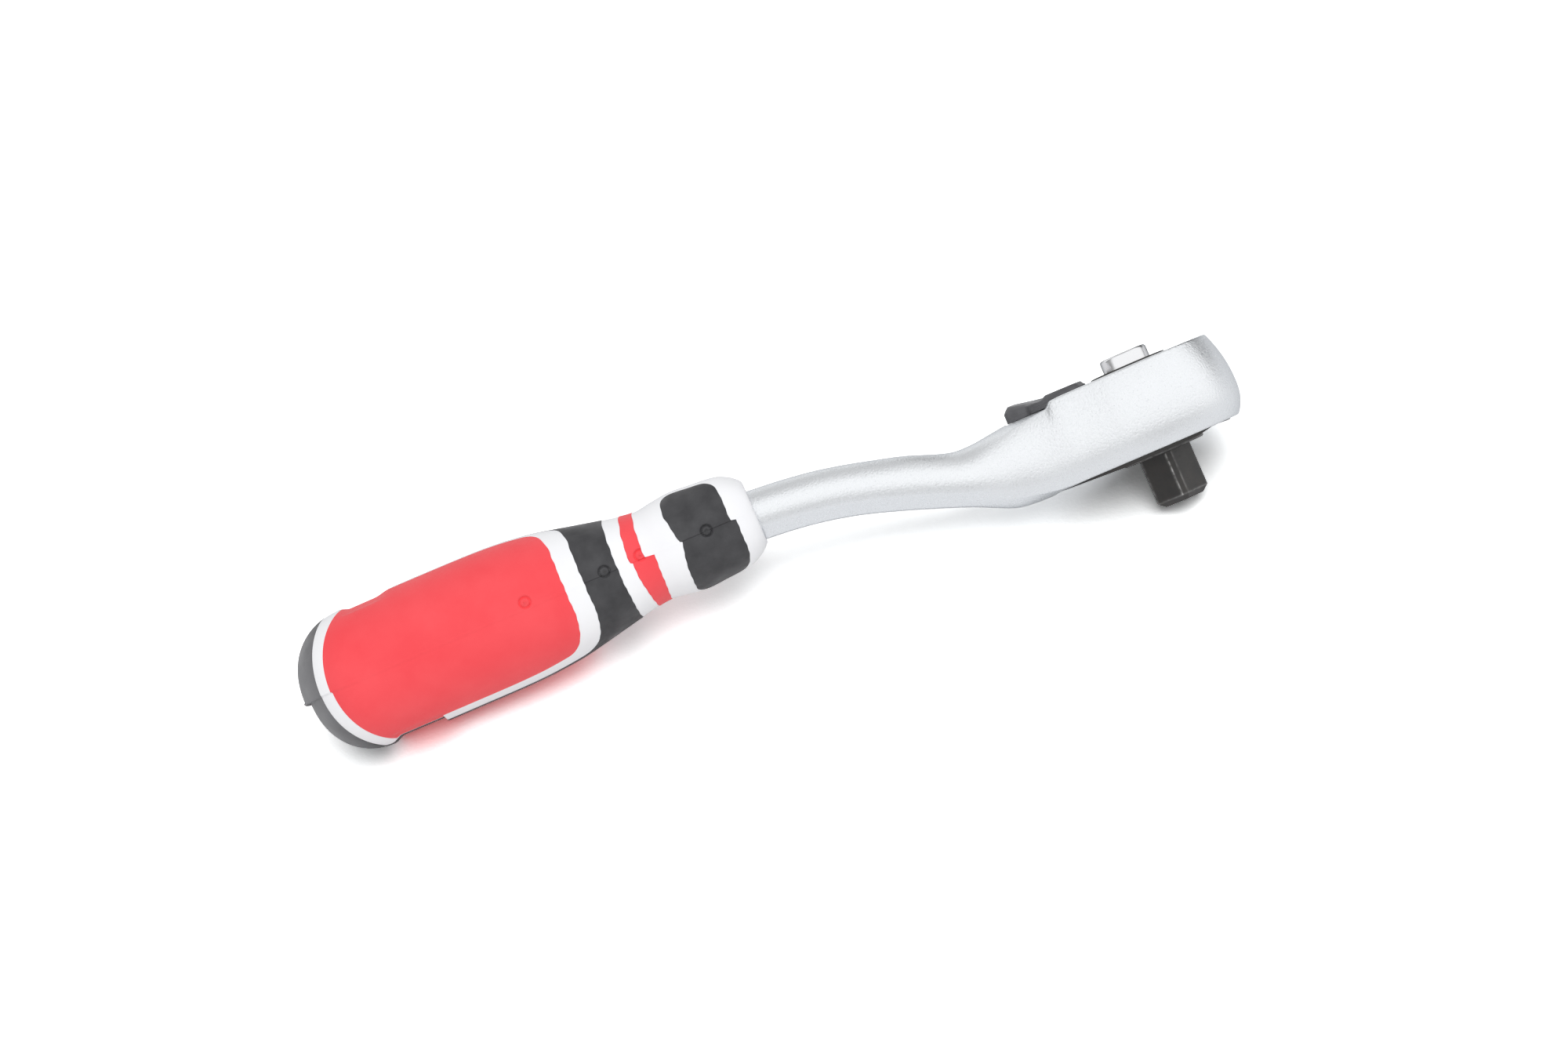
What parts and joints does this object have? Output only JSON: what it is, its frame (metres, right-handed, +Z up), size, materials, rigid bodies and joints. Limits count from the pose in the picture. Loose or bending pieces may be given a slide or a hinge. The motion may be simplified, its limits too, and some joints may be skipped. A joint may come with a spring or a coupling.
{
  "type": "reversible ratchet",
  "caption": "Reversible ratchet with a bent neck, square drive, release button, reversing lever and a moulded white, red and black handle.",
  "frame": {"origin": "on the bench, below the middle of the tool's box as it lies tipped on its drive square, head rim and butt", "axes": "+Z up from the bench, +X from the butt to the head along the bench, +Y to the far side that the head leans towards"},
  "size_m": [0.147, 0.0312, 0.0264],
  "materials": {
    "satin_chrome": "satin",
    "bright_chrome": "polished",
    "black_steel": "black oxide",
    "spring_steel": "bright",
    "black_lever": "satin black",
    "white_plastic": "moulded",
    "red_rubber": "soft moulded",
    "black_rubber": "soft moulded"
  },
  "bodies": {
    "handle": {"ratchet_body": "satin_chrome", "cover_plate": "black_steel", "cover_screw_1": "black_steel", "cover_screw_2": "black_steel", "friction_washer": "spring_steel", "handle_core": "white_plastic", "black_grip": "black_rubber", "red_band": "red_rubber", "red_grip_left": "red_rubber", "red_grip_right": "red_rubber", "collar_pad_left": "black_rubber", "collar_pad_right": "black_rubber"},
    "drive": {"drive_gear": "black_steel", "button_retaining_ring": "spring_steel", "release_spring": "spring_steel"},
    "button": {"release_button": "bright_chrome"},
    "ball": {"detent_ball": "spring_steel"},
    "lever": {"reverse_lever": "black_lever", "pawl_plunger": "spring_steel", "pawl_spring": "spring_steel", "lever_retaining_clip": "spring_steel"},
    "pawl": {"pawl": "spring_steel"}
  },
  "joints": [
    {"name": "drive_turn", "type": "hinge", "parent": "handle", "child": "drive", "pos_m": [0.05943, -0.00204, 0.01318], "axis": [-0.0487, 0.6763, 0.7351], "continuous": true},
    {"name": "button_press", "type": "slide", "parent": "drive", "child": "button", "axis": [0.0487, -0.6763, -0.7351], "range_m": [0, 0.0016], "stiffness_N_per_m": 600, "springref_m": -0.002, "deforming": ["release_spring"]},
    {"name": "ball_retract", "type": "slide", "parent": "drive", "child": "ball", "axis": [-0.7372, -0.5209, 0.4304], "range_m": [0, 0.0005], "stiffness_N_per_m": 0.02, "springref_m": 0.005},
    {"name": "lever_flip", "type": "hinge", "parent": "handle", "child": "lever", "pos_m": [0.04785, -0.00204, 0.01242], "axis": [-0.0487, 0.6763, 0.7351], "range_deg": [0, 50]},
    {"name": "pawl_rock", "type": "hinge", "parent": "handle", "child": "pawl", "pos_m": [0.04785, -0.00204, 0.01242], "axis": [-0.0487, 0.6763, 0.7351], "range_deg": [0, 10]}
  ],
  "couplings": [
    {"joint": "ball_retract", "follows": "button_press", "ratio": 0.3125},
    {"joint": "pawl_rock", "follows": "lever_flip", "ratio": 0.2}
  ]
}
